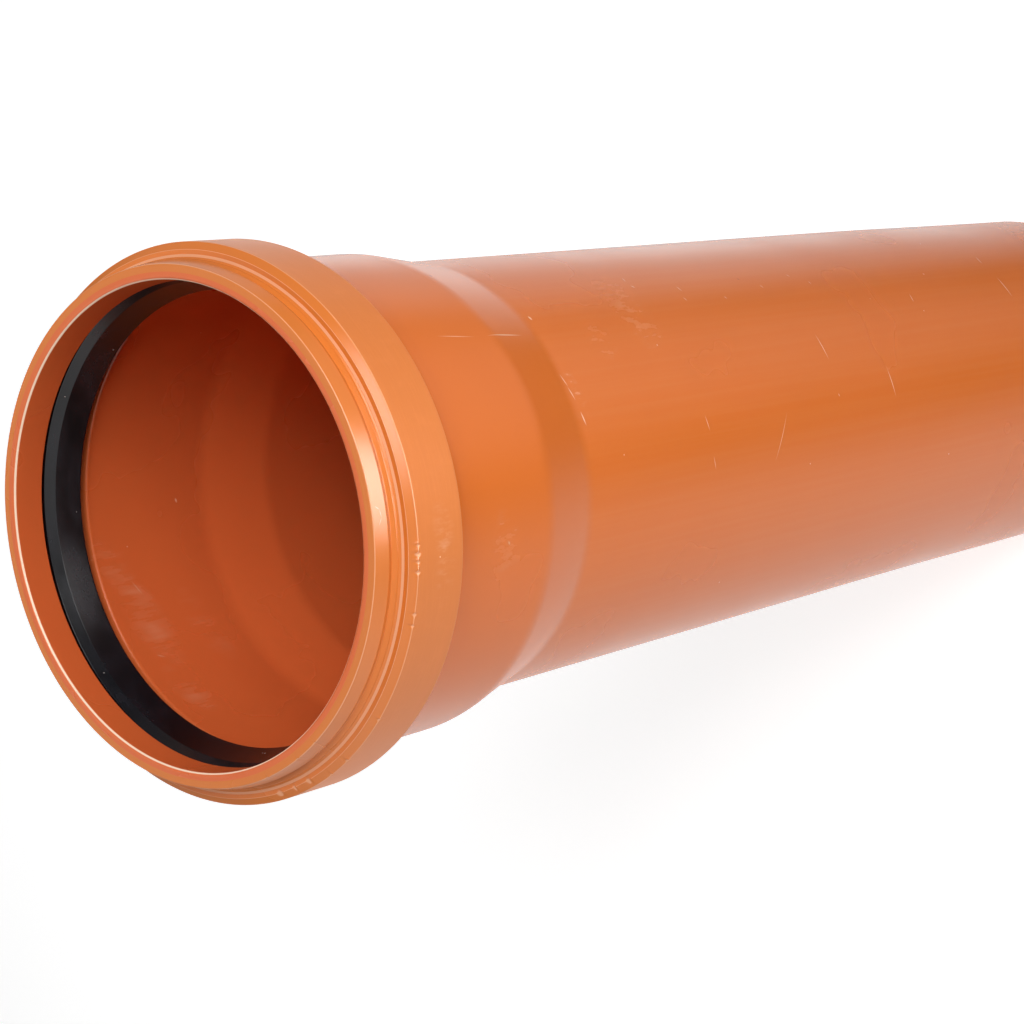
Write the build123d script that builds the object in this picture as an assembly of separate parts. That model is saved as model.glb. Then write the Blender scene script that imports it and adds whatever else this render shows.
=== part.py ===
from build123d import *
from math import atan2, cos, radians, tan
import os

# Orange PVC-U sewer pipe, DN 160, with a formed socket and a black rubber lip seal.
# Sections are drawn as (along, out): millimetres along the pipe from the mouth, and out from its axis.

# Barrel
pipe_diameter = 160.0
pipe_wall = 4.7
laying_length = 500.0
chamfer_length = 7.0
chamfer_angle = 15.0
end_edge_radius = 0.5

# Socket
socket_clearance = 1.3
socket_wall = 4.7
socket_bore_depth = 86.0
taper_lead_length = 12.0
taper_run_out_length = 22.0

# Lip at the mouth, which flares towards the groove behind it, and the ridge at the bead's foot
lip_wall = 5.2
lip_length = 5.4
lip_flare = 1.15
lip_inner_edge = 1.3
lip_outer_edge = 0.5
groove_run = 1.8
groove_depth = 0.65
ridge_run = 1.3
ridge_step = 0.5
foot_run = 1.3
foot_step = 0.75
groove_edge_radius = 0.35

# Bead round the seal chamber
bead_wall = 4.5
bead_length = 23.2
bead_face_lean = 0.2
shoulder_length = 1.8
shoulder_drop = 2.6
shoulder_radius = 0.5
bead_back_run = 4.2
bead_back_edge_radius = 0.25
bead_back_foot_radius = 3.0

# Chamber inside the bead
land_length = 12.4
chamber_depth = 8.1
chamber_front_run = 2.8
chamber_floor_length = 13.6
chamber_back_run = 4.4
chamber_corner_radius = 1.2

# Rubber seal
seat_gap = 0.3
nose_gap = 1.6
nose_drop = 1.9
ridge_length = 3.4
ridge_rise = 0.4
ridge_edge_radius = 1.2
lip_reach = 12.2
lip_interference = 2.6
lip_thickness = 1.9
seal_body_length = 7.0
heel_thickness = 3.0
seal_edge_radius = 0.5

pipe_radius = pipe_diameter / 2
pipe_bore_radius = pipe_radius - pipe_wall
socket_bore_radius = pipe_radius + socket_clearance
socket_radius = socket_bore_radius + socket_wall
lip_radius = socket_bore_radius + lip_wall
groove_rim_radius = lip_radius + lip_flare
chamber_radius = socket_bore_radius + chamber_depth
bead_radius = chamber_radius + bead_wall

groove_bottom = lip_length + groove_run
ridge_top = groove_bottom + ridge_run
bead_foot = ridge_top + foot_run
bead_start = bead_foot + bead_face_lean
bead_end = bead_start + bead_length
chamber_floor_start = land_length + chamber_front_run
chamber_floor_end = chamber_floor_start + chamber_floor_length
chamber_end = chamber_floor_end + chamber_back_run
taper_end = socket_bore_depth + taper_lead_length + taper_run_out_length
overall_length = laying_length + socket_bore_depth + chamfer_length
chamfer_start = overall_length - chamfer_length
chamfer_end_radius = pipe_radius - chamfer_length * tan(radians(chamfer_angle))


def taper(start_radius, end_radius):
    """Two tangent arcs that step the wall down from the socket to the barrel."""
    lead_share = taper_lead_length / (taper_lead_length + taper_run_out_length)
    middle = Vector(
        socket_bore_depth + taper_lead_length,
        start_radius - (start_radius - end_radius) * lead_share,
    )
    lead = TangentArc((socket_bore_depth, start_radius), middle, tangent=(1, 0))
    run_out = TangentArc((taper_end, end_radius), middle, tangent=(-1, 0))
    return [lead, run_out]


def pipe_outside():
    """The outside of the socket, from the middle of the lip's face to the taper."""
    face_middle = (0, socket_bore_radius + lip_wall / 2)
    corners = [
        ((0, lip_radius), lip_outer_edge),
        ((lip_length, groove_rim_radius), groove_edge_radius),
        ((groove_bottom, groove_rim_radius - groove_depth), groove_edge_radius),
        ((ridge_top, groove_rim_radius + ridge_step), groove_edge_radius),
        ((bead_foot, groove_rim_radius + ridge_step + foot_step), groove_edge_radius),
        ((bead_start, bead_radius - shoulder_drop), shoulder_radius),
        ((bead_start + shoulder_length, bead_radius), shoulder_radius),
        ((bead_end, bead_radius), bead_back_edge_radius),
        ((bead_end + bead_back_run, socket_radius), bead_back_foot_radius),
    ]
    points = [face_middle] + [point for point, _ in corners] + [(socket_bore_depth, socket_radius)]
    return FilletPolyline(*points, radius=[radius for _, radius in corners])


def pipe_spigot():
    """The barrel's outside, the chamfered end and the bore back to the taper."""
    corners = [
        ((chamfer_start, pipe_radius), end_edge_radius),
        ((overall_length, chamfer_end_radius), end_edge_radius),
        ((overall_length, pipe_bore_radius), end_edge_radius),
    ]
    points = [(taper_end, pipe_radius)] + [point for point, _ in corners] + [(taper_end, pipe_bore_radius)]
    return FilletPolyline(*points, radius=[radius for _, radius in corners])


def pipe_inside():
    """The socket's bore, the seal chamber and the land behind the mouth."""
    corners = [
        ((chamber_end, socket_bore_radius), chamber_corner_radius),
        ((chamber_floor_end, chamber_radius), chamber_corner_radius),
        ((chamber_floor_start, chamber_radius), chamber_corner_radius),
        ((land_length, socket_bore_radius), end_edge_radius),
        ((0, socket_bore_radius), lip_inner_edge),
    ]
    points = [(socket_bore_depth, socket_bore_radius)] + [point for point, _ in corners]
    points += [(0, socket_bore_radius + lip_wall / 2)]
    return FilletPolyline(*points, radius=[radius for _, radius in corners])


def pipe_section():
    """The pipe's wall, cut along its axis."""
    edges = pipe_outside().edges()
    edges += taper(socket_radius, pipe_radius)
    edges += pipe_spigot().edges()
    edges += taper(socket_bore_radius, pipe_bore_radius)
    edges += pipe_inside().edges()
    return make_face(edges)


def seal_section():
    """The ring's body and heel in the chamber, and the free lip that wipes the spigot."""
    front_lean = chamber_front_run / chamber_depth
    front_start = land_length + nose_gap / cos(atan2(chamber_front_run, chamber_depth))
    nose = Vector(front_start + nose_drop * front_lean, socket_bore_radius + nose_drop)
    ridge = Vector(nose.X + ridge_length, socket_bore_radius - ridge_rise)
    lip_edge = Vector(nose.X + lip_reach, pipe_radius - lip_interference)
    lip_line = (lip_edge - ridge).normalized()
    lip_back = lip_edge + Vector(-lip_line.Y, lip_line.X) * lip_thickness
    body_end = nose.X + seal_body_length
    lip_root = lip_back - lip_line * ((lip_back.X - body_end) / lip_line.X)
    floor_radius = chamber_radius - seat_gap
    heel_radius = floor_radius - heel_thickness
    heel_end = chamber_floor_end - seat_gap
    body_top = front_start + (chamber_depth - seat_gap) * front_lean
    corners = [
        (nose, seal_edge_radius),
        (ridge, ridge_edge_radius),
        (lip_edge, seal_edge_radius),
        (lip_back, seal_edge_radius),
        (lip_root, seal_edge_radius),
        (Vector(body_end, heel_radius), seal_edge_radius),
        (Vector(heel_end, heel_radius), seal_edge_radius),
        (Vector(heel_end, floor_radius), seal_edge_radius),
        (Vector(body_top, floor_radius), chamber_corner_radius),
    ]
    points = [point for point, _ in corners]
    outline = FilletPolyline(*points, radius=[radius for _, radius in corners], close=True)
    return make_face(outline.edges())


def turned(section):
    """A section turned once round the axis, with the mouth up and the spigot's end on the floor."""
    upright = Plane(origin=(0, 0, overall_length), x_dir=(0, 0, -1), z_dir=(0, -1, 0)) * section
    return revolve(upright, Axis.Z, 360)


os.makedirs("parts", exist_ok=True)
export_step(turned(pipe_section()), "parts/pipe.step")
export_step(turned(seal_section()), "parts/seal_ring.step")
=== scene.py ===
from math import atan2, cos, pi, radians, sin, tan

import bpy
import numpy as np
from mathutils import Matrix, Vector


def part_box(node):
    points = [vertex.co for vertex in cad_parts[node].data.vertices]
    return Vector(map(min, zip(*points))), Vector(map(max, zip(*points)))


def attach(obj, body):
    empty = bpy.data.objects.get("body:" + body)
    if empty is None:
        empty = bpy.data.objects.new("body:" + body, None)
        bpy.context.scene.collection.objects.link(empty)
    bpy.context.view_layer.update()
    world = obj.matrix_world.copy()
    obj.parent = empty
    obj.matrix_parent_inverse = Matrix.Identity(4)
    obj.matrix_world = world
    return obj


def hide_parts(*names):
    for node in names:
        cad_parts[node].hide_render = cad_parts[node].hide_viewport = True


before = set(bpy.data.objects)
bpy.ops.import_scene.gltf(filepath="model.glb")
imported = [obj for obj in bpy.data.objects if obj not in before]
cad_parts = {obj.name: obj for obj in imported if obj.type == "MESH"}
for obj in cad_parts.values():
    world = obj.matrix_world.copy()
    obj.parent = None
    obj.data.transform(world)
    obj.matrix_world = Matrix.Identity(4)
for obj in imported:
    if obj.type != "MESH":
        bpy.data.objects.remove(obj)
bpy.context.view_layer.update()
mm = 0.001

# What the frame gives: the mouth's height above the floor, and the bead's radius
pipe_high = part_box("pipe")[1]
mouth_height = pipe_high.z
bead_radius = pipe_high.x

# Radii of the barrel and of the socket's bore
pipe_radius = 80 * mm
pipe_bore_radius = 75.3 * mm
socket_bore_radius = 81.3 * mm

# Outside of the socket: distances along the pipe from the mouth, and radii
socket_wall = 4.7 * mm
socket_radius = socket_bore_radius + socket_wall
lip_radius = socket_bore_radius + 5.2 * mm
lip_length = 5.4 * mm
groove_rim_radius = lip_radius + 1.15 * mm
lip_inner_edge = 1.3 * mm
lip_outer_edge = 0.5 * mm
lip_middle = 2.6 * mm
groove_bottom = lip_length + 1.8 * mm
groove_depth = 0.65 * mm
ridge_top = groove_bottom + 1.3 * mm
ridge_radius = groove_rim_radius + 0.5 * mm
bead_foot = ridge_top + 1.3 * mm
foot_radius = ridge_radius + 0.75 * mm
groove_edge = 0.35 * mm
notch_edge = 0.18 * mm
bead_start = bead_foot + 0.2 * mm
bead_end = bead_foot + 23.4 * mm
shoulder_length = 1.8 * mm
shoulder_drop = 2.6 * mm
shoulder_radius = 0.5 * mm
bead_back_run = 4.2 * mm
bead_back_edge = 0.25 * mm
bead_back_foot = 3 * mm
taper_start = 86 * mm
taper_end = 124 * mm
straight_end = 74 * mm
barrel_skin_start = 140 * mm
cone_start = 89.5 * mm
cone_end = 118.5 * mm
cone_lead_radius = 28 * mm
cone_end_radius = 24 * mm

# Inside of the socket
land_length = 12.4 * mm
chamber_depth = 8.1 * mm
chamber_radius = socket_bore_radius + chamber_depth
chamber_front_run = 2.8 * mm
chamber_floor_start = land_length + chamber_front_run
chamber_floor_end = chamber_floor_start + 13.6 * mm
chamber_end = chamber_floor_end + 4.4 * mm
chamber_corner = 1.2 * mm

# Rubber seal
seat_gap = 0.3 * mm
nose_gap = 1.6 * mm
nose_drop = 1.9 * mm
ridge_length = 3.4 * mm
ridge_rise = 0.4 * mm
ridge_edge = 1.2 * mm
lip_reach = 12.2 * mm
lip_interference = 2.6 * mm
seal_lip_thickness = 1.9 * mm
seal_body_length = 7 * mm
heel_thickness = 3 * mm
seal_edge = 0.5 * mm

# Spigot
chamfer_length = 7 * mm
chamfer_angle = radians(15)
end_edge = 0.5 * mm
chamfer_start = mouth_height - chamfer_length
chamfer_radius = pipe_radius - chamfer_length * tan(chamfer_angle)

# The socket was formed a little off the barrel's axis: (along, shift) towards one side, for each skin
side_of_shift = Vector((0.9877, -0.1566, 0))
outside_shift = [
    (0, 0.7 * mm), (4 * mm, 0.65 * mm), (bead_start, 0), (bead_end, 0), (40 * mm, 0.45 * mm),
    (taper_start, 0.45 * mm), (taper_end, 2.05 * mm), (400 * mm, 2.05 * mm), (mouth_height, 0.9 * mm),
]
inside_shift = [
    (0, 0.7 * mm), (land_length, 0.15 * mm), (chamber_end, 0.15 * mm), (45 * mm, 0.45 * mm),
    (taper_start, 0.45 * mm), (taper_end, 2.05 * mm), (400 * mm, 2.05 * mm), (mouth_height, 0.9 * mm),
]

# Nicks with a burr beside each: (angle round the axis in degrees, along, radius, width, depth)
shoulder_back = (bead_start + shoulder_length, bead_radius)
shoulder_front = (bead_start, bead_radius - shoulder_drop)
lip_corner = (0.3 * mm, lip_radius - 0.3 * mm)
nicks = [
    (-102.4, *shoulder_back, 0.5 * mm, 0.3 * mm),
    (-104.1, *shoulder_back, 0.7 * mm, 0.5 * mm),
    (-105.6, *shoulder_back, 0.5 * mm, 0.35 * mm),
    (-107.6, *shoulder_back, 0.6 * mm, 0.4 * mm),
    (-115.9, *shoulder_back, 0.6 * mm, 0.35 * mm),
    (-118.2, *shoulder_back, 0.5 * mm, 0.3 * mm),
    (-139.8, *shoulder_back, 0.5 * mm, 0.3 * mm),
    (-152.5, *shoulder_back, 0.6 * mm, 0.3 * mm),
    (-158, *shoulder_back, 0.5 * mm, 0.25 * mm),
    (-163.5, *shoulder_front, 0.9 * mm, 0.35 * mm),
    (-168, *shoulder_front, 0.6 * mm, 0.3 * mm),
    (-172.5, *shoulder_front, 1.2 * mm, 0.4 * mm),
    (-150.9, *lip_corner, 0.6 * mm, 0.25 * mm),
    (-157.6, *lip_corner, 0.6 * mm, 0.3 * mm),
    (-168.2, *lip_corner, 0.7 * mm, 0.3 * mm),
]

# Mesh
even_segments = 336
edge_hold = 0.12 * mm
steps_per_turn = 22


def fillet(before, corner, after, radius):
    """Points of the arc that rounds a corner, with a point close outside each of its ends."""
    corner = Vector(corner)
    towards = (Vector(before) - corner).normalized()
    away = (Vector(after) - corner).normalized()
    half = towards.angle(away) / 2
    reach = radius / tan(half)
    middle = corner + (towards + away).normalized() * radius / sin(half)
    first = corner + towards * reach - middle
    last = corner + away * reach - middle
    turn = last.angle_signed(first)
    steps = max(3, round(abs(turn) / (2 * pi) * steps_per_turn))
    points = [corner + towards * (reach + edge_hold)]
    for step in range(steps + 1):
        points.append(middle + Matrix.Rotation(turn * step / steps, 2) @ first)
    points.append(corner + away * (reach + edge_hold))
    return points


def rounded(points, radii):
    """A line through points, with each inner corner rounded by its own radius."""
    line = [Vector(points[0])]
    for before, corner, after, radius in zip(points, points[1:], points[2:], radii):
        line += fillet(before, corner, after, radius) if radius else [Vector(corner)]
    line.append(Vector(points[-1]))
    return line


def taper(start_radius, end_radius):
    """The step from the socket to the barrel: a cone between two wide bends."""
    points = [
        (taper_start, start_radius), (cone_start, start_radius),
        (cone_end, end_radius), (taper_end, end_radius),
    ]
    return rounded(points, [cone_lead_radius, cone_end_radius])


def pipe_outside():
    """The outside as (along, out) points, from the middle of the lip's face to the spigot's end."""
    corners = [
        ((0, lip_radius), lip_outer_edge),
        ((lip_middle, lip_radius + (groove_rim_radius - lip_radius) * lip_middle / lip_length), 0),
        ((lip_length, groove_rim_radius), groove_edge),
        ((groove_bottom, groove_rim_radius - groove_depth), groove_edge),
        ((ridge_top, ridge_radius), groove_edge),
        ((ridge_top + 0.6 * mm, ridge_radius + 0.12 * mm), notch_edge),
        ((bead_foot - 0.25 * mm, foot_radius - 0.1 * mm), notch_edge),
        ((bead_foot + 0.15 * mm, foot_radius + 0.9 * mm), notch_edge),
        (shoulder_front, shoulder_radius),
        ((bead_start + shoulder_length * 0.5, bead_radius - shoulder_drop * 0.5), 0),
        (shoulder_back, shoulder_radius),
        ((bead_start + shoulder_length + 0.9 * mm, bead_radius), 0),
        ((bead_start + shoulder_length + 2.4 * mm, bead_radius), 0),
        ((bead_end, bead_radius), bead_back_edge),
        ((bead_end + bead_back_run, socket_radius), bead_back_foot),
    ]
    points = [(0, (socket_bore_radius + lip_radius) / 2), *[place for place, _ in corners]]
    points.append((straight_end, socket_radius))
    line = rounded(points, [radius for _, radius in corners])
    line += taper(socket_radius, pipe_radius)
    barrel = chamfer_start - taper_end
    barrel_places = [barrel_skin_start]
    barrel_places += [taper_end + barrel * share for share in (0.1, 0.25, 0.4, 0.55, 0.7, 0.85)]
    line += [Vector((place, pipe_radius)) for place in barrel_places]
    spigot = [
        (taper_end + barrel * 0.95, pipe_radius),
        (chamfer_start, pipe_radius),
        (mouth_height, chamfer_radius),
        (mouth_height, (chamfer_radius + pipe_bore_radius) / 2),
    ]
    return line + rounded(spigot, [end_edge] * 2)[:-1]


def pipe_inside():
    """The inside as (along, out) points, from the spigot's end to the middle of the lip's face."""
    spigot = [
        (mouth_height, (chamfer_radius + pipe_bore_radius) / 2),
        (mouth_height, pipe_bore_radius),
        (chamfer_start, pipe_bore_radius),
    ]
    barrel = chamfer_start - taper_end
    line = rounded(spigot, [end_edge])
    line += [Vector((taper_end + barrel * share, pipe_bore_radius)) for share in (0.8, 0.6, 0.4, 0.2, 0.05)]
    line += reversed(taper(socket_bore_radius, pipe_bore_radius))
    corners = [
        ((chamber_end, socket_bore_radius), chamber_corner),
        ((chamber_floor_end, chamber_radius), chamber_corner),
        ((chamber_floor_start, chamber_radius), chamber_corner),
        ((land_length, socket_bore_radius), end_edge),
        ((0, socket_bore_radius), lip_inner_edge),
    ]
    points = [(straight_end, socket_bore_radius), *[place for place, _ in corners]]
    points.append((0, (socket_bore_radius + lip_radius) / 2))
    return line + rounded(points, [radius for _, radius in corners])[:-1]


def seal_outline():
    """The ring's body and heel in the chamber, and the free lip that wipes the spigot."""
    front_lean = chamber_front_run / chamber_depth
    front_start = land_length + nose_gap / cos(atan2(chamber_front_run, chamber_depth))
    nose = Vector((front_start + nose_drop * front_lean, socket_bore_radius + nose_drop))
    ridge = Vector((nose.x + ridge_length, socket_bore_radius - ridge_rise))
    lip_end = Vector((nose.x + lip_reach, pipe_radius - lip_interference))
    lip_line = (lip_end - ridge).normalized()
    lip_back = lip_end + Vector((-lip_line.y, lip_line.x)) * seal_lip_thickness
    body_end = nose.x + seal_body_length
    lip_root = lip_back - lip_line * ((lip_back.x - body_end) / lip_line.x)
    floor_radius = chamber_radius - seat_gap
    heel_radius = floor_radius - heel_thickness
    heel_end = chamber_floor_end - seat_gap
    body_top = front_start + (chamber_depth - seat_gap) * front_lean
    corners = [
        nose, ridge, lip_end, lip_back, lip_root,
        Vector((body_end, heel_radius)), Vector((heel_end, heel_radius)),
        Vector((heel_end, floor_radius)), Vector((body_top, floor_radius)),
    ]
    radii = [seal_edge, ridge_edge] + [seal_edge] * 6 + [chamber_corner]
    return rounded([corners[-1], *corners, corners[0]], radii)[1:-1]


def eased(along, knots):
    """A smooth value between (along, value) knots."""
    value = np.full_like(along, knots[0][1])
    for (start, low), (end, high) in zip(knots, knots[1:]):
        share = np.clip((along - start) / (end - start), 0, 1)
        value += (high - low) * share * share * (3 - 2 * share)
    return value


def nicked(along, out, turn):
    """Dents the corners at each nick and raises a burr beside it."""
    for angle, at_along, at_out, width, depth in nicks:
        round_it = (turn - radians(angle) + pi) % (2 * pi) - pi
        across = round_it * at_out
        near = np.exp(-((along - at_along) ** 2 + (out - at_out) ** 2) / (0.55 * mm) ** 2)
        dent = np.exp(-(across / width) ** 2) - 0.7 * np.exp(-((across - 1.6 * width) / (0.6 * width)) ** 2)
        along = along + near * dent * depth * 0.6
        out = out - near * dent * depth * 0.8
    return np.maximum(along, 0), out


def turned(name, outline, turn, shift=None, marked=False):
    """A closed outline of (along, out) points turned round the axis into a smooth mesh."""
    size = (len(outline), len(turn))
    along = np.broadcast_to(np.array([point.x for point in outline])[:, None], size)
    out = np.broadcast_to(np.array([point.y for point in outline])[:, None], size)
    if marked:
        along, out = nicked(along, out, turn)
    aside = np.zeros(len(outline)) if shift is None else shift
    places = np.stack(
        [
            out * np.cos(turn) + aside[:, None] * side_of_shift.x,
            out * np.sin(turn) + aside[:, None] * side_of_shift.y,
            mouth_height - along,
        ],
        axis=-1,
    ).reshape(-1, 3)
    ring, step = np.meshgrid(np.arange(size[0]), np.arange(size[1]), indexing="ij")
    next_ring = (ring + 1) % size[0]
    next_step = (step + 1) % size[1]
    faces = np.stack(
        [ring * size[1] + step, next_ring * size[1] + step,
         next_ring * size[1] + next_step, ring * size[1] + next_step],
        axis=-1,
    ).reshape(-1, 4)
    mesh = bpy.data.meshes.new(name)
    mesh.from_pydata(places.tolist(), [], faces.tolist())
    mesh.polygons.foreach_set("use_smooth", [True] * len(mesh.polygons))
    mesh.update()
    piece = bpy.data.objects.new(name, mesh)
    bpy.context.scene.collection.objects.link(piece)
    return piece


# Camera: where the pipe lies as the photograph shows it, as (right, down, ahead) in metres
camera_lens = 83.9
mouth_seen_at = Vector((-0.10948, 0.0063, 0.78049))
pipe_runs = Vector((0.62267, -0.12791, 0.77196)).normalized()


def view_to_world():
    """Turns (right, down, ahead) directions into the part's frame, whose +Y is the camera's way."""
    up = -pipe_runs
    ahead = Vector((0, 0, 1))
    level = (ahead - ahead.dot(up) * up).normalized()
    return Matrix((level.cross(up), level, up))


seen = view_to_world()
mouth = Vector((0, 0, mouth_height))


def make_camera():
    camera = bpy.data.objects.new("camera", bpy.data.cameras.new("camera"))
    bpy.context.scene.collection.objects.link(camera)
    camera.data.lens = camera_lens
    camera.data.sensor_width = 36
    camera.data.clip_start = 0.01
    right, up, back = ((1, 0, 0), (0, -1, 0), (0, 0, -1))
    axes = Matrix([seen @ Vector(way) for way in (right, up, back)]).transposed()
    camera.matrix_world = Matrix.Translation(mouth - seen @ mouth_seen_at) @ axes.to_4x4()
    bpy.context.scene.camera = camera


def make_pipe():
    outside = pipe_outside()
    inside = pipe_inside()
    even = np.arange(even_segments) * 2 * pi / even_segments - pi
    close = [
        radians(angle) + offset * width / radius
        for angle, _, radius, width, _ in nicks
        for offset in (-1.2, -0.6, 0, 0.6, 1.2, 1.8, 2.4)
    ]
    turn = np.unique(np.concatenate([even, close]))
    shift = np.concatenate([
        eased(np.array([point.x for point in outside]), outside_shift),
        eased(np.array([point.x for point in inside]), inside_shift),
    ])
    pipe = turned("sewer_pipe", outside + inside, turn, shift, marked=True)
    pipe.data.materials.append(make_outside("orange_pvc_socket", 0, barrel_skin_start))
    pipe.data.materials.append(make_outside("orange_pvc_barrel", barrel_skin_start, mouth_height))
    pipe.data.materials.append(make_inside())
    ring = np.arange(len(pipe.data.polygons)) // len(turn)
    barrel_ring = sum(point.x < barrel_skin_start - edge_hold for point in outside)
    skin = (ring >= barrel_ring).astype(np.int32) + (ring >= len(outside) - 1)
    pipe.data.polygons.foreach_set("material_index", skin)
    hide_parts("pipe")
    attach(pipe, "root")


def make_seal():
    turn = np.arange(even_segments) * 2 * pi / even_segments - pi
    seal = turned("lip_seal", seal_outline()[::-1], turn)
    seal.data.materials.append(make_rubber())
    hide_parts("seal_ring")
    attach(seal, "root")


# Marks on the pipe: (angle, along in mm, angle and along of the other end, width in mm, strength)
scratches = [
    (-58.1, 61.5, -59.5, 80, 0.5, 0.35), (-59.6, 86, -58.8, 109.5, 0.5, 0.8),
    (-68.6, 288.4, -77, 289.8, 0.55, 0.7), (-81.1, 331, -90.9, 333, 0.6, 0.8),
    (-56.1, 466.4, -64.7, 466.6, 0.7, 0.9), (-45.8, 467.6, -49.6, 466, 0.6, 0.7),
    (-59.1, 379.8, -62.2, 378.6, 0.6, 0.6), (-89.3, 249.2, -102.8, 237.4, 0.45, 0.55),
    (-86.6, 194, -90.9, 195.3, 0.5, 0.6), (-97.6, 195.8, -101.4, 196.9, 0.45, 0.5),
    (-70.4, 118.4, -73.6, 119.9, 0.7, 0.6), (-73.8, 119.6, -77.4, 121, 0.6, 0.7),
    (-80.6, 121.6, -84, 122.5, 0.8, 0.8), (-40.6, 198, -42.2, 197.4, 0.6, 0.6),
    (-44.4, 197.2, -45.2, 197.9, 0.7, 0.8), (-46.5, 223.1, -48.6, 223.6, 0.5, 0.6),
    (-51.2, 220.2, -52.4, 220.6, 0.6, 0.5), (-52.4, 123, -53.2, 123.2, 1.2, 1),
    (-52.4, 246.2, -53.2, 246.9, 0.5, 0.6), (-49.3, 277.2, -50.6, 277.5, 0.5, 0.6),
    (-46, 303.2, -46.9, 304, 0.5, 0.6), (-49.8, 313, -51, 313.3, 0.5, 0.7),
    (-87, 289, -87.8, 289.4, 0.5, 0.7), (-107, 66.2, -107.6, 66.7, 0.9, 0.6),
    (-93.8, 1.6, -94.6, 3.1, 0.3, 0.5), (-94.6, 3.1, -96.2, 3.5, 0.3, 0.5),
    (-96.2, 3.5, -97.8, 2.3, 0.3, 0.5),
]
dark_specks = [(-45.6, 267.3, -46.2, 267.9, 0.6, 0.7), (-36.6, 90.7, -37, 91, 1, 0.8)]
scuffs = [
    (-45, 184, -61, 181, 22, 0.5), (-60.9, 152, -65, 152, 14, 0.3), (-70, 122, -79, 125, 7, 0.5),
    (-96, 24, -112, 25, 12, 0.5), (-104, 64, -112, 66, 16, 0.3),
]
inner_scratches = [
    (80, 76, 80.7, 76.4, 1.1, 0.6), (99, 47, 103, 50, 0.5, 0.4), (120, 43, 121, 46, 0.5, 0.4),
]
rubbed = [
    (91, 38, 99, 45, 16, 0.6), (104, 46, 118, 50, 20, 0.6),
    (128, 44, 138, 47, 14, 0.5), (108, 70, 122, 74, 16, 0.3),
]


# How far a mark stays whole from its middle towards its edge
mark_fullness = 1.8


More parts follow.
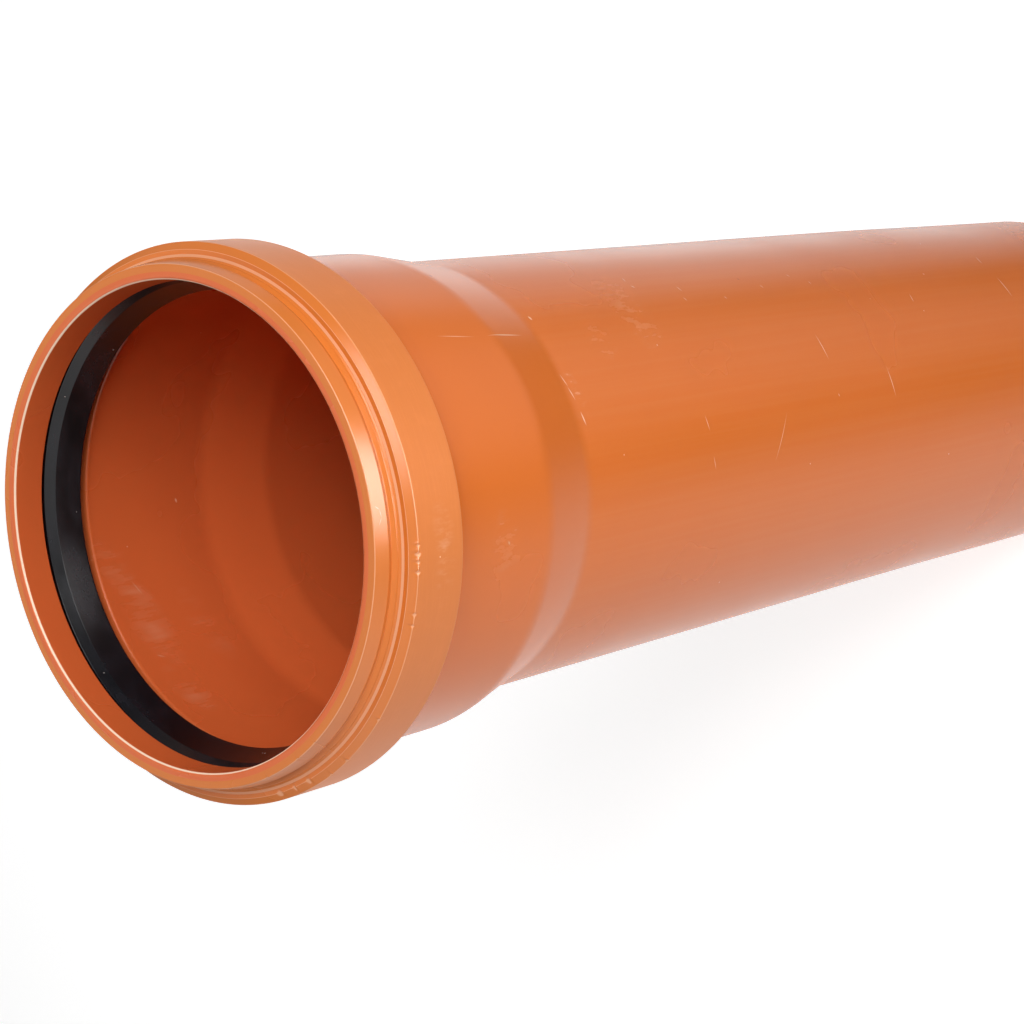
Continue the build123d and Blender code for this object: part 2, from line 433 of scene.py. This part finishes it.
class Surface:
    """Writes the nodes of one material. A value may be a number, a vector or another node's output."""

    def __init__(self, name):
        self.material = bpy.data.materials.new(name)
        self.material.use_nodes = True
        self.tree = self.material.node_tree
        self.shader = self.tree.nodes["Principled BSDF"]
        self.place = self.node("ShaderNodeTexCoord").outputs["Object"]

    def node(self, kind, values=(), **settings):
        new = self.tree.nodes.new(kind)
        for key, value in settings.items():
            setattr(new, key, value)
        for socket, value in zip(new.inputs, values):
            self.feed(socket, value)
        return new

    def feed(self, socket, value):
        if isinstance(value, bpy.types.NodeSocket):
            self.tree.links.new(value, socket)
        else:
            socket.default_value = value

    def math(self, operation, *values):
        return self.node("ShaderNodeMath", values, operation=operation).outputs[0]

    def vector(self, operation, *values):
        return self.node("ShaderNodeVectorMath", values, operation=operation).outputs[0]

    def stretched(self, *scale):
        return self.vector("MULTIPLY", self.place, scale)

    def noise(self, place, scale, detail=2.0, roughness=0.5):
        new = self.node("ShaderNodeTexNoise")
        given = {"Vector": place, "Scale": scale, "Detail": detail, "Roughness": roughness}
        for name, value in given.items():
            self.feed(new.inputs[name], value)
        return new.outputs[0]

    def between(self, value, start, end, low=0.0, high=1.0):
        """Goes smoothly from low to high as the value goes from start to end."""
        values = (value, start, end, low, high)
        return self.node("ShaderNodeMapRange", values, interpolation_type="SMOOTHSTEP").outputs[0]

    def mix(self, share, first, second):
        new = self.node("ShaderNodeMix", data_type="RGBA")
        self.feed(new.inputs[0], share)
        for socket, value in ((new.inputs[6], first), (new.inputs[7], second)):
            self.feed(socket, value if isinstance(value, bpy.types.NodeSocket) else (*value, 1))
        return new.outputs[2]

    def unrolled(self):
        """The pipe's skin laid flat: millimetres round it and along it, and 1."""
        x, y, z = self.node("ShaderNodeSeparateXYZ", (self.place,)).outputs
        self.round = self.math("MULTIPLY", self.math("ARCTAN2", y, x), pipe_radius / mm)
        self.along = self.math("MULTIPLY_ADD", z, -1 / mm, mouth_height / mm)
        normal = self.node("ShaderNodeNewGeometry").outputs["Normal"]
        self.facing = self.node("ShaderNodeSeparateXYZ", (normal,)).outputs[2]
        return self.node("ShaderNodeCombineXYZ", (self.round, self.along, 1.0)).outputs[0]

    def marks(self, flat, places):
        """One mask with every mark of a list in it: soft ellipses, 1 in the middle and 0 outside."""
        whole = 0.0
        for angle, along, end_angle, end_along, width, strength in places:
            start = Vector((radians(angle) * pipe_radius / mm, along))
            end = Vector((radians(end_angle) * pipe_radius / mm, end_along))
            middle = (start + end) / 2
            line = (end - start).normalized()
            reach = (end - start).length / 2 + width / 2
            lengthwise, crosswise = line / reach, Vector((-line.y, line.x)) * 2 / width
            offsets = [
                self.node(
                    "ShaderNodeVectorMath", (flat, (way.x, way.y, -way.dot(middle))), operation="DOT_PRODUCT",
                ).outputs["Value"]
                for way in (lengthwise, crosswise)
            ]
            place = self.node("ShaderNodeCombineXYZ", (*offsets, 0.0)).outputs[0]
            ball = self.node("ShaderNodeTexGradient", (place,), gradient_type="SPHERICAL").outputs[1]
            whole = self.math("MULTIPLY_ADD", ball, strength * mark_fullness, whole)
        return self.math("MINIMUM", whole, 1.0)

    def edge(self, first, last, least, most):
        """The rounded corners between two distances from the mouth, by how much they face it."""
        middle, half = (least + most) / 2, (most - least) / 2
        off = self.math("ABSOLUTE", self.math("SUBTRACT", self.facing, middle))
        after, before = self.math("GREATER_THAN", self.along, first), self.math("LESS_THAN", self.along, last)
        within = self.math("MULTIPLY", after, before)
        return self.math("MULTIPLY", within, self.between(off, half, half * 0.4))

    def specks(self, scale, share, size):
        """Sparse round dots: in a share of the cells, with a size as a part of a cell."""
        cells = self.node("ShaderNodeTexVoronoi")
        self.feed(cells.inputs["Vector"], self.place)
        cells.inputs["Scale"].default_value = scale
        chance = self.node("ShaderNodeSeparateColor", (cells.outputs["Color"],)).outputs[0]
        chosen = self.math("LESS_THAN", chance, share)
        return self.math("MULTIPLY", chosen, self.between(cells.outputs["Distance"], size, size * 0.5))

    def finish(self, color, roughness, height):
        """Colour, roughness, and a relief given in millimetres."""
        self.feed(self.shader.inputs["Base Color"], color)
        self.feed(self.shader.inputs["Roughness"], roughness)
        bump = self.node("ShaderNodeBump")
        bump.inputs["Distance"].default_value = mm
        self.feed(bump.inputs["Height"], height)
        self.feed(self.shader.inputs["Normal"], bump.outputs[0])
        return self.material


orange = (0.67, 0.152, 0.017)
deep_orange = (0.64, 0.135, 0.014)
pale_orange = (0.69, 0.2, 0.042)
golden = (0.62, 0.185, 0.036)
inner_red = (0.66, 0.135, 0.036)
deep_inner_red = (0.62, 0.118, 0.03)
# Pale of scrapes, scratches and rubbing, also used for the painted highlights on the lip and bead corners
scrape_and_highlight_pale = (0.9, 0.55, 0.36)
# Painted highlight colour for the mouth's rounded inner edge
painted_rim_highlight = (1, 0.78, 0.58)
grime = (0.16, 0.04, 0.02)


def make_outside(name, start, end):
    """Extruded orange PVC between two distances from the mouth, with the marks that lie there."""
    pvc = Surface(name)
    flat = pvc.unrolled()
    with_bead = start < bead_end

    def marked(places):
        return pvc.marks(flat, [mark for mark in places if start <= mark[1] * mm < end])

    drawn = pvc.noise(pvc.stretched(1, 1, 0.012), 420, 3, 0.6)
    patches = pvc.noise(pvc.place, 13, 3)
    barrel = pvc.between(pvc.along, 100, 122)
    color = pvc.mix(pvc.between(patches, 0.4, 0.75, 0, 0.45), orange, deep_orange)
    color = pvc.mix(pvc.math("MULTIPLY", barrel, pvc.between(drawn, 0.35, 0.7, 0, 0.16)), color, pale_orange)
    roughness = pvc.between(patches, 0.3, 0.7, 0.22, 0.28)
    height = pvc.math("MULTIPLY", pvc.math("MULTIPLY", drawn, barrel), 0.002)
    if with_bead:
        color, roughness, height = brushed_bead(pvc, color, roughness, height)

    broken = pvc.between(pvc.noise(pvc.stretched(1, 1, 0.35), 380, 3, 0.6), 0.45, 0.75)
    worn = pvc.math("MULTIPLY", marked(scuffs), broken)
    fine = pvc.math("MAXIMUM", marked(scratches), pvc.specks(240, 0.012, 0.09))
    color = pvc.mix(pvc.math("MAXIMUM", pvc.math("MULTIPLY", worn, 0.3), fine), color, scrape_and_highlight_pale)
    # Painted highlights: the lip's outer edge and the bead's shoulder corners made pale
    if with_bead:
        color = pvc.mix(pvc.math("MULTIPLY", painted_corner_highlights(pvc), 0.4), color, scrape_and_highlight_pale)
    color = pvc.mix(marked(dark_specks), color, grime)
    roughness = pvc.math("ADD", roughness, pvc.math("MULTIPLY", worn, 0.15))
    height = pvc.math("MULTIPLY_ADD", pvc.noise(pvc.place, 700, 1), 0.0025, height)
    return pvc.finish(color, roughness, height)


def brushed_bead(pvc, color, roughness, height):
    """A more golden front, and turned brushing with pale blotches on the bead, which is matter."""
    bead = pvc.math("MULTIPLY", pvc.between(pvc.along, 11.4, 12.2), pvc.between(pvc.along, 33.3, 32.7))
    turned_lines = pvc.noise(pvc.stretched(0.04, 0.04, 1), 1500, 2, 0.7)
    blotch = pvc.between(pvc.noise(pvc.stretched(1, 1, 0.6), 160, 4, 0.65), 0.5, 0.72)
    brushing = pvc.between(turned_lines, 0.45, 0.75, 0, 0.35)
    color = pvc.mix(pvc.math("MULTIPLY", pvc.between(pvc.along, 35, 33), 0.7), color, golden)
    color = pvc.mix(pvc.math("MULTIPLY", bead, pvc.math("MULTIPLY", blotch, 0.3)), color, pale_orange)
    color = pvc.mix(pvc.math("MULTIPLY", bead, brushing), color, pale_orange)
    roughness = pvc.math("ADD", roughness, pvc.math("MULTIPLY", bead, 0.16))
    height = pvc.math("MULTIPLY_ADD", pvc.math("MULTIPLY", turned_lines, bead), 0.01, height)
    return color, roughness, height


def painted_corner_highlights(pvc):
    """The lip's outer edge and the two corners of the bead's shoulder, painted pale as highlights."""
    corners = pvc.math("MAXIMUM", pvc.edge(-1, 0.7, 0.3, 0.95), pvc.edge(9.6, 10.9, 0.84, 0.99))
    return pvc.math("MAXIMUM", corners, pvc.edge(10.9, 13, 0.1, 0.75))


def make_inside():
    """The same plastic inside: smoother, with places rubbed pale behind the seal, and a painted highlight on
    the mouth's rounded inner edge.
    """
    pvc = Surface("orange_pvc_inside")
    flat = pvc.unrolled()
    patches = pvc.noise(pvc.place, 16, 3)
    rings = pvc.noise(pvc.stretched(0.05, 0.05, 1), 700, 2, 0.6)
    streaks = pvc.noise(pvc.stretched(1, 1, 0.2), 160, 3, 0.6)
    worn = pvc.math("MULTIPLY", pvc.marks(flat, rubbed), pvc.between(streaks, 0.4, 0.75))
    scratch = pvc.marks(flat, inner_scratches)
    dust = pvc.specks(300, 0.01, 0.08)
    color = pvc.mix(pvc.between(patches, 0.35, 0.75, 0, 0.5), inner_red, deep_inner_red)
    color = pvc.mix(pvc.math("MULTIPLY", worn, 0.3), color, scrape_and_highlight_pale)
    color = pvc.mix(pvc.math("MAXIMUM", scratch, dust), color, scrape_and_highlight_pale)
    # Painted highlight: the mouth's rounded inner edge, picked by how much it faces the mouth, made pale
    # cream
    color = pvc.mix(pvc.edge(-1, 1.4, 0.2, 0.85), color, painted_rim_highlight)
    roughness = pvc.math("ADD", pvc.between(patches, 0.3, 0.7, 0.25, 0.32), pvc.math("MULTIPLY", worn, 0.12))
    height = pvc.math("MULTIPLY", rings, 0.005)
    height = pvc.math("MULTIPLY_ADD", streaks, 0.004, height)
    return pvc.finish(color, roughness, height)


def make_rubber():
    """Black EPDM with a faint mould texture and a little dust."""
    rubber = Surface("black_rubber")
    bloom = rubber.noise(rubber.stretched(1, 1, 2), 60, 4, 0.6)
    grain = rubber.noise(rubber.place, 900, 3, 0.6)
    rings = rubber.noise(rubber.stretched(0.05, 0.05, 1), 1200, 2, 0.6)
    dust = rubber.specks(330, 0.1, 0.11)
    color = rubber.mix(rubber.between(bloom, 0.35, 0.75), (0.004, 0.004, 0.005), (0.009, 0.009, 0.012))
    color = rubber.mix(rubber.math("MULTIPLY", dust, 0.8), color, (0.35, 0.33, 0.31))
    roughness = rubber.between(bloom, 0.3, 0.7, 0.2, 0.28)
    roughness = rubber.math("ADD", roughness, rubber.math("MULTIPLY", dust, 0.3))
    height = rubber.math("MULTIPLY", grain, 0.003)
    height = rubber.math("MULTIPLY_ADD", rings, 0.002, height)
    return rubber.finish(color, roughness, height)


def make_floor():
    reach = 6
    mesh = bpy.data.meshes.new("floor")
    corners = [(-reach, -reach, 0), (reach, -reach, 0), (reach, reach, 0), (-reach, reach, 0)]
    mesh.from_pydata(corners, [], [(0, 1, 2, 3)])
    floor = bpy.data.objects.new("floor", mesh)
    bpy.context.scene.collection.objects.link(floor)
    material = bpy.data.materials.new("floor_paper")
    material.use_nodes = True
    shader = material.node_tree.nodes["Principled BSDF"]
    shader.inputs["Base Color"].default_value = (0.85, 0.85, 0.85, 1)
    shader.inputs["Roughness"].default_value = 0.9
    rays = material.node_tree.nodes.new("ShaderNodeLightPath")
    material.node_tree.links.new(rays.outputs["Is Camera Ray"], shader.inputs["Emission Strength"])
    shader.inputs["Emission Color"].default_value = (0.55, 0.55, 0.55, 1)
    mesh.materials.append(material)
    floor.visible_glossy = False


# Soft lamps round the pipe: (name, azimuth and elevation in degrees, width, strength in watts)
studio_lamps = [
    ("front", 296, 57, 0.5, 7.5), ("right_front", 300, 40, 0.7, 8.8), ("left", 180, 0, 0.6, 6.5),
    ("back_high", 88, 42, 0.5, 7), ("low_front", 270, 0, 0.6, 5.4),
]
lamp_distance = 1.3
lamps_look_at = Vector((0, 0, 0.5))


def make_light(name, azimuth, elevation, size, strength):
    """A soft square lamp that looks at the upper part of the pipe."""
    lamp = bpy.data.objects.new(name, bpy.data.lights.new(name, "AREA"))
    bpy.context.scene.collection.objects.link(lamp)
    lamp.data.size = size
    lamp.data.energy = strength
    round_it, rise = radians(azimuth), radians(elevation)
    way = Vector((cos(round_it) * cos(rise), sin(round_it) * cos(rise), sin(rise)))
    lamp.location = lamps_look_at + way * lamp_distance
    lamp.rotation_euler = way.to_track_quat("Z", "Y").to_euler()
    lamp.visible_camera = False
    lamp.visible_glossy = False


# What the glossy plastic sees of the studio: azimuth to the right of the camera's line of sight and
# elevation above it, the angles at which a panel is whole and gone, and its brightness
studio_panels = [
    (0, 8, 12, 32, 0.65), (0, 42, 14, 34, 0.7), (45, -42, 30, 58, 0.75), (-45, -50, 30, 60, 0.2),
    (114, 12, 9, 23, 16), (136, 24, 9, 24, 4.5), (-162, 16, 9, 22, 8), (150, -50, 30, 70, 0.8),
    (-130, -30, 30, 55, 0.8), (85, 40, 8, 34, 0.6), (-100, 30, 20, 50, 0.35),
]
dim_room = 0.05


def make_world():
    """White to the camera, and soft panels round the pipe that only the glossy plastic sees."""
    world = bpy.data.worlds.new("studio")
    bpy.context.scene.world = world
    world.use_nodes = True
    nodes, links = world.node_tree.nodes, world.node_tree.links

    def math(operation, *values):
        new = nodes.new("ShaderNodeMath")
        new.operation = operation
        for socket, value in zip(new.inputs, values):
            if isinstance(value, bpy.types.NodeSocket):
                links.new(value, socket)
            else:
                socket.default_value = value
        return new.outputs[0]

    way = nodes.new("ShaderNodeTexCoord").outputs["Generated"]
    glow = dim_room
    for azimuth, elevation, whole, gone, brightness in studio_panels:
        aside, rise = radians(azimuth), radians(elevation)
        towards = Vector((sin(aside) * cos(rise), -sin(rise), cos(aside) * cos(rise)))
        near = nodes.new("ShaderNodeVectorMath")
        near.operation = "DOT_PRODUCT"
        links.new(way, near.inputs[0])
        near.inputs[1].default_value = seen @ towards
        fade = nodes.new("ShaderNodeMapRange")
        fade.interpolation_type = "SMOOTHSTEP"
        links.new(near.outputs["Value"], fade.inputs["Value"])
        fade.inputs["From Min"].default_value = cos(radians(gone))
        fade.inputs["From Max"].default_value = cos(radians(whole))
        fade.inputs["To Max"].default_value = brightness
        glow = math("ADD", fade.outputs[0], glow)
    rays = nodes.new("ShaderNodeLightPath").outputs
    strength = math("MULTIPLY_ADD", glow, rays["Is Glossy Ray"], rays["Is Camera Ray"])
    links.new(strength, nodes["Background"].inputs["Strength"])
    nodes["Background"].inputs["Color"].default_value = (1, 1, 1, 1)


make_camera()
make_pipe()
make_seal()
make_floor()
make_world()
for name, azimuth, elevation, size, strength in studio_lamps:
    make_light(name, azimuth, elevation, size, strength)
bpy.context.scene.view_settings.view_transform = "Standard"
